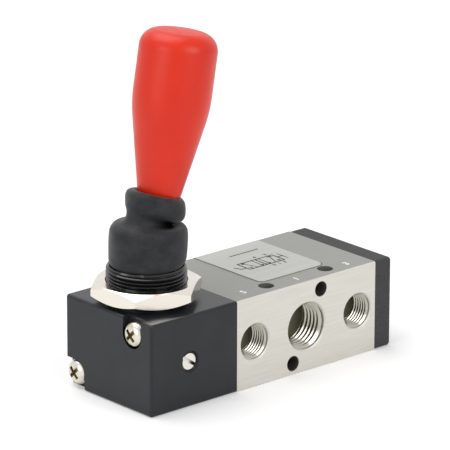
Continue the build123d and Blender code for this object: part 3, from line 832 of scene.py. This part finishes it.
pivot_height = joints["lever_rock"]["pos_m"][2] / mm
rock_low, rock_high = joints["lever_rock"]["range_deg"]
lean = math.radians((rock_high - rock_low) / 2)
lever_way = Vector((math.sin(lean), 0, math.cos(lean)))
lever_across = Vector((math.cos(lean), 0, -math.sin(lean)))


def lever_ring(distance, radius):
    """A boot ring square to the lever: its right and left points, from the neck's axis."""
    middle = lever_way * distance + Vector((0, 0, pivot_height))
    right, left = middle + lever_across * radius, middle - lever_across * radius
    return right.x, right.z, left.x, left.z, 1.0


# Each row is a ring by its right and left points, x from the neck's axis and height, and by how
# much it is drawn in at the front and back.
boot_rings = [
    (8.4, 31.7, -8.4, 31.7, 1), (9.2, 31.7, -9.2, 31.7, 1), (9.3, 32.0, -9.3, 32.0, 1),
    (9.3, 35.1, -9.3, 35.1, 1), (9.9, 35.8, -9.7, 35.8, 1), (10.6, 36.8, -10.0, 36.8, 1),
    (10.9, 38.5, -10.0, 38.5, 1), (11.1, 40.9, -9.95, 40.7, 1), (11.2, 42.9, -9.85, 42.9, 1),
    (11.15, 44.3, -9.6, 44.9, 1), (10.85, 45.15, -9.05, 46.0, 1), (10.3, 45.5, -8.2, 46.8, 1),
    (9.2, 45.3, -7.1, 47.4, 0.93), (8.3, 45.0, -6.3, 48.2, 0.82), (7.75, 45.05, -5.8, 49.3, 0.75),
    (7.75, 45.4, -5.45, 50.3, 0.76), (8.5, 45.75, -5.1, 51.1, 0.86), (9.9, 46.1, -4.8, 51.8, 0.97),
    (10.75, 47.3, -4.7, 52.8, 1), (11.05, 49.0, -4.7, 53.8, 1), (11.0, 50.3, -4.65, 54.7, 1),
    (10.8, 51.4, -4.25, 55.6, 1), (10.3, 52.2, -3.4, 56.05, 1), (9.9, 52.55, -2.2, 55.9, 1),
    lever_ring(25.4, 5.5), lever_ring(25.35, 4.5), lever_ring(24.0, 4.2), lever_ring(21.0, 4.1),
    lever_ring(18.2, 4.1), (7.1, 44.4, -4.4, 46.6, 0.76), (8.6, 44.2, -6.4, 45.6, 0.92),
    (9.8, 43.8, -8.2, 44.4, 1), (10.15, 42.2, -8.9, 42.6, 1), (9.9, 38.6, -9.0, 38.6, 1),
    (8.5, 35.6, -8.6, 35.6, 1), (8.4, 33.6, -8.4, 33.6, 1),
]
steps_between = 4
around = 80


def between(a, b, c, d, t):
    """A point on the smooth curve from b to c that also heeds a and d."""
    return tuple(
        0.5 * (
            2 * q + (r - p) * t + (2 * p - 5 * q + 4 * r - s) * t * t
            + (3 * q - p - 3 * r + s) * t**3
        )
        for p, q, r, s in zip(a, b, c, d)
    )


boot = bmesh.new()
loops = []
count = len(boot_rings)
for k in range(count):
    neighbours = [boot_rings[(k + offset) % count] for offset in (-1, 0, 1, 2)]
    for step in range(steps_between):
        right_x, right_z, left_x, left_z, drawn_in = between(*neighbours, step / steps_between)
        half_width = math.hypot(right_x - left_x, right_z - left_z) / 2 * drawn_in
        ring = []
        for n in range(around):
            swing = 2 * math.pi * n / around
            share = (1 + math.cos(swing)) / 2
            x = neck_x + left_x + (right_x - left_x) * share
            z = left_z + (right_z - left_z) * share
            ring.append(boot.verts.new(Vector((x, half_width * math.sin(swing), z)) * mm))
        loops.append(ring)
for k, ring in enumerate(loops):
    after = loops[(k + 1) % len(loops)]
    for n in range(around):
        boot.faces.new((ring[n], ring[(n + 1) % around], after[(n + 1) % around], after[n]))
bmesh.ops.recalc_face_normals(boot, faces=boot.faces)
boot_mesh = bpy.data.meshes.new("boot")
boot.to_mesh(boot_mesh)
boot.free()
boot_mesh.materials.append(soft_rubber)
boot_piece = set_piece("boot_rubber_sleeve", [boot_mesh], None, ["boot"], sharp=80)
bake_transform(boot_piece)

# ---------------------------------------------------------------- grip
# A moulded plastic grip, red, with a smooth satin skin. It screws on the lever and widens from a
# slim foot to a barrel with a rounded top.
def turned(
    rows, material, around=96,
    origin=Vector((0, 0, 0)), across=Vector((1, 0, 0)), along=Vector((0, 0, 1)),
):
    """A turned solid from rows of radius and distance along its axis, in millimetres."""
    side = along.cross(across)
    work = bmesh.new()
    rings = []
    for radius, distance in rows:
        middle = origin + along * distance
        if radius < 1e-6:
            rings.append([work.verts.new(middle * mm)] * around)
            continue
        rings.append([
            work.verts.new((middle + (across * math.cos(t) + side * math.sin(t)) * radius) * mm)
            for t in (2 * math.pi * n / around for n in range(around))
        ])
    for ring, after in zip(rings, rings[1:]):
        for n in range(around):
            m = (n + 1) % around
            corners = list(dict.fromkeys((ring[n], ring[m], after[m], after[n])))
            if len(corners) > 2:
                work.faces.new(corners)
    bmesh.ops.recalc_face_normals(work, faces=work.faces)
    mesh = bpy.data.meshes.new("turned")
    work.to_mesh(mesh)
    work.free()
    mesh.materials.append(material)
    return mesh


def rounded(rows, steps=10):
    """Rows of radius and distance, with an arc at each corner that starts so far from it."""
    made = []
    for k, (radius, distance, trim) in enumerate(rows):
        here = Vector((radius, distance))
        if not trim:
            made.append(tuple(here))
            continue
        to_before = (Vector(rows[k - 1][:2]) - here).normalized()
        to_after = (Vector(rows[k + 1][:2]) - here).normalized()
        half_angle = to_before.angle(to_after) / 2
        middle = here + (to_before + to_after).normalized() * trim / math.cos(half_angle)
        first, last = here + to_before * trim - middle, here + to_after * trim - middle
        sweep = math.atan2(first.x * last.y - first.y * last.x, first.dot(last))
        for step in range(steps + 1):
            spoke = first.copy()
            spoke.rotate(Matrix.Rotation(sweep * step / steps, 2))
            made.append(tuple(middle + spoke))
    return made


red_plastic, tree, shader = start_finish(
    "red_plastic", (220, 44, 14), 0.36, Specular_IOR_Level=0.34
)
red_shade = shade_by(tree, grain(tree, (70, 70, 70)), [(0.3, (216, 41, 12)), (0.7, (224, 47, 17))])
tree.links.new(red_shade, shader.inputs["Base Color"])
tree.links.new(level_by(tree, grain(tree, (250, 250, 250)), 0.33, 0.42), shader.inputs["Roughness"])
relief(tree, shader, grain(tree, (700, 700, 700)), 0.02, 0.25)
grip_foot, grip_belly, grip_barrel, grip_top = 25.5, 47.6, 51.5, 70.0
foot_radius, belly_radius, barrel_radius = 5.75, 10.1, 10.45
grip_corner = 4.8
rim_distance = grip_top - 0.35
crown = ((4.0, 0.175), (2.0, 0.044))
grip_rows = rounded([
    (0, grip_foot, 0), (foot_radius, grip_foot, 0.4), (belly_radius, grip_belly, 2.0),
    (barrel_radius, grip_barrel, 1.5), (barrel_radius, rim_distance, grip_corner),
    (barrel_radius - grip_corner, rim_distance, 0),
    *[(radius, grip_top - drop, 0) for radius, drop in crown], (0, grip_top, 0),
])
pivot = Vector((neck_x, 0, pivot_height))
grip_mesh = turned(grip_rows, red_plastic, 96, pivot, lever_across, lever_way)
set_piece("red_grip", [grip_mesh], "lever", ["handle_grip"], sharp=50)

# ---------------------------------------------------------------- end cap
# A moulded black plastic cap with a fine matt texture closes the far end.
matt_plastic, tree, shader = start_finish(
    "matt_black_plastic", (52, 52, 54), 0.65, Specular_IOR_Level=0.35
)
spark_texture = grain(tree, (2500, 2500, 2500))
cap_shade = shade_by(tree, spark_texture, [(0.3, (42, 42, 44)), (0.7, (66, 66, 68))])
tree.links.new(cap_shade, shader.inputs["Base Color"])
relief(tree, shader, spark_texture, 0.06, 0.5)
dress("end_cap", matt_plastic)

# ---------------------------------------------------------------- screws
# Pan head steel screws with a cross recess, zinc plated and passivated to a pale yellow. Two long
# ones hold the housing to the body, and two short ones hold the end cap.
pale_zinc, tree, shader = start_finish("pale_zinc", (226, 221, 206), 0.24, metallic=1.0)
zinc_shade = shade_by(
    tree, grain(tree, (450, 450, 450), detail=4),
    [(0.3, (194, 185, 152)), (0.5, (220, 216, 203)), (0.7, (208, 198, 200))],
)
tree.links.new(zinc_shade, shader.inputs["Base Color"])
relief(tree, shader, grain(tree, (1800, 1800, 1800)), 0.012, 0.6)
recess_shade, tree, shader = start_finish("recess_shade", (150, 134, 88), 0.45, metallic=0.6)
relief(tree, shader, grain(tree, (2500, 2500, 2500)), 0.01, 0.5)

# The recess is a cross of two bars sunk in a turned blank. Its floor and walls are the faces near
# the axis, under the head's skin and above the seat, and they take a darker olive finish as painted
# shade.
recess_reach, recess_skin, recess_floor = 1.9, 0.35, 0.5
screw_tree, sizes_in, grown_out = start_geometry_tree(
    "cross_recess_screws",
    [("Screw", "Object"), ("Recess width", "Float"), ("Recess length", "Float"),
     ("Recess depth", "Float"), ("Face", "Float"), ("Roll", "Float"), ("Turn", "Vector"),
     ("Finish", "Material"), ("Recess finish", "Material")],
)
size = sizes_in.outputs
blank = add_node(screw_tree, "GeometryNodeObjectInfo", [("Object", size["Screw"])])
sink_at = add_node(screw_tree, "ShaderNodeCombineXYZ", [("Z", size["Face"])])
roll_by = add_node(screw_tree, "ShaderNodeCombineXYZ", [("Z", size["Roll"])])
recessed = blank.outputs["Geometry"]
for wide, long in (("Recess width", "Recess length"), ("Recess length", "Recess width")):
    bar_size = add_node(
        screw_tree, "ShaderNodeCombineXYZ",
        [("X", size[wide]), ("Y", size[long]), ("Z", size["Recess depth"])],
    )
    bar = add_node(screw_tree, "GeometryNodeMeshCube", [("Size", bar_size.outputs[0])])
    sunk_bar = add_node(
        screw_tree, "GeometryNodeTransform",
        [("Geometry", bar.outputs[0]), ("Translation", sink_at.outputs[0]),
         ("Rotation", roll_by.outputs[0])],
    )
    recessed = add_node(
        screw_tree, "GeometryNodeMeshBoolean",
        [("Mesh 1", recessed), ("Mesh 2", sunk_bar.outputs[0])],
        operation="DIFFERENCE", solver="MANIFOLD",
    ).outputs[0]
where_at = add_node(screw_tree, "GeometryNodeInputPosition")
at_parts = add_node(screw_tree, "ShaderNodeSeparateXYZ", [(0, where_at.outputs[0])])
at_height = at_parts.outputs["Z"]
sideways = add_node(
    screw_tree, "ShaderNodeCombineXYZ",
    [("X", at_parts.outputs["X"]), ("Y", at_parts.outputs["Y"])],
)
off_axis = add_node(
    screw_tree, "ShaderNodeVectorMath", [(0, sideways.outputs[0])], operation="LENGTH"
)
skin_height = reckon(screw_tree, "SUBTRACT", size["Face"], recess_skin * mm)
in_recess = reckon(screw_tree, "LESS_THAN", off_axis.outputs["Value"], recess_reach * mm)
for limit in (
    reckon(screw_tree, "LESS_THAN", at_height, skin_height),
    reckon(screw_tree, "GREATER_THAN", at_height, recess_floor * mm),
):
    in_recess = reckon(screw_tree, "MULTIPLY", in_recess, limit)
marked = add_node(
    screw_tree, "GeometryNodeCaptureAttribute", [("Geometry", recessed)], domain="FACE"
)
marked.capture_items.new("FLOAT", "recess")
screw_tree.links.new(in_recess, marked.inputs[1])
at_holes = add_node(
    screw_tree, "GeometryNodeInstanceOnPoints",
    [("Points", size["Geometry"]), ("Instance", marked.outputs[0]), ("Rotation", size["Turn"])],
)
made = add_node(screw_tree, "GeometryNodeRealizeInstances", [(0, at_holes.outputs[0])])
plated = add_node(
    screw_tree, "GeometryNodeSetMaterial",
    [("Geometry", made.outputs[0]), ("Material", size["Finish"])],
)
recess_darkened = add_node(
    screw_tree, "GeometryNodeSetMaterial",
    [("Geometry", plated.outputs[0]), ("Selection", marked.outputs[1]),
     ("Material", size["Recess finish"])],
)
screw_tree.links.new(recess_darkened.outputs[0], grown_out.inputs[0])

shank_radius = 2.0
flat_radius, side_height = 2.2, 1.7
recess_width, recess_length, recess_depth = 1.05, 3.9, 3.4
recess_roll = math.radians(45.0)
for name, node, tip_turn, face_side in (
    ("long_screws", "housing_screws", -math.pi / 2, -1),
    ("short_screws", "cap_screws", math.pi / 2, 1),
):
    screws_low, screws_high = (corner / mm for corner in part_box(node))
    shank = screws_high.x - screws_low.x - head_height
    seat_x = (screws_low.x if face_side < 0 else screws_high.x) - face_side * head_height
    upper = (seat_x, screws_low.y + head_radius, screws_high.z - head_radius)
    lower = (seat_x, screws_high.y - head_radius, screws_low.z + head_radius)
    blank_rows = rounded([
        (0, head_height, 0), (flat_radius, head_height - 0.12, 0.8),
        (head_radius, side_height, 0.9), (head_radius, 0, 0.12), (shank_radius, 0, 0),
        (shank_radius, -shank, 0), (0, -shank, 0),
    ])
    blank_screw = bpy.data.objects.new("blank_screw", turned(blank_rows, pale_zinc, 48))
    bpy.context.scene.collection.objects.link(blank_screw)
    heads = grow(
        screw_tree,
        [upper, lower],
        {"Screw": blank_screw, "Recess width": recess_width * mm,
         "Recess length": recess_length * mm, "Recess depth": recess_depth * mm,
         "Face": head_height * mm, "Roll": recess_roll, "Turn": (0, tip_turn, 0),
         "Finish": pale_zinc, "Recess finish": recess_shade},
    )
    bpy.data.objects.remove(blank_screw)
    set_piece(name, [heads], "valve", [node], sharp=35)

# ---------------------------------------------------------------- set screw and inner parts
# The detent's slotted set screw is bright zinc. Inside are an anodised spool, brass bushes, rubber
# rings, and steel for the ball, its spring, the slide block, the lever rod and its pin.
bright_zinc, tree, shader = start_finish("bright_zinc", (226, 222, 214), 0.3, metallic=1.0)
# Painted shade: outside a disc on the screw's end, set a little below its axis, the thread and the
# gap round it are coloured near black.
end_radius, end_drop = 2.2, 0.12
screw_end = in_bores(tree, along_y, [((neck_x, 0, port_height - end_drop), end_radius)])
screw_with_painted_shade = where_marked(tree, screw_end, (226, 222, 214), (38, 36, 33))
tree.links.new(screw_with_painted_shade, shader.inputs["Base Color"])
tree.links.new(level_by(tree, grain(tree, (900, 900, 900)), 0.24, 0.36), shader.inputs["Roughness"])
relief(tree, shader, grain(tree, (1500, 1500, 1500)), 0.01, 0.5)
dress("detent_screw", bright_zinc)

hard_steel, tree, shader = start_finish("hard_steel", (190, 190, 192), 0.25, metallic=1.0)
relief(tree, shader, grain(tree, (2000, 400, 2000)), 0.008, 0.5)
for node in ("slide_block", "detent_ball", "detent_spring", "lever_rod", "pivot_pin"):
    dress(node, hard_steel)

hard_anodised, tree, shader = start_finish("hard_anodised", (150, 152, 150), 0.4, metallic=0.8)
relief(tree, shader, grain(tree, (3000, 800, 800)), 0.006, 0.5)
dress("spool", hard_anodised)

turned_brass, tree, shader = start_finish("turned_brass", (205, 172, 98), 0.28, metallic=1.0)
relief(tree, shader, grain(tree, (2600, 500, 500)), 0.008, 0.5)
for node in ("lever_end_bush", "cap_end_bush", "grip_insert"):
    dress(node, turned_brass)

ring_rubber, tree, shader = start_finish("ring_rubber", (34, 34, 35), 0.5)
relief(tree, shader, grain(tree, (2500, 2500, 2500)), 0.01, 0.5)
for node in ("spool_seals", "stem_seals", "face_seals"):
    dress(node, ring_rubber)
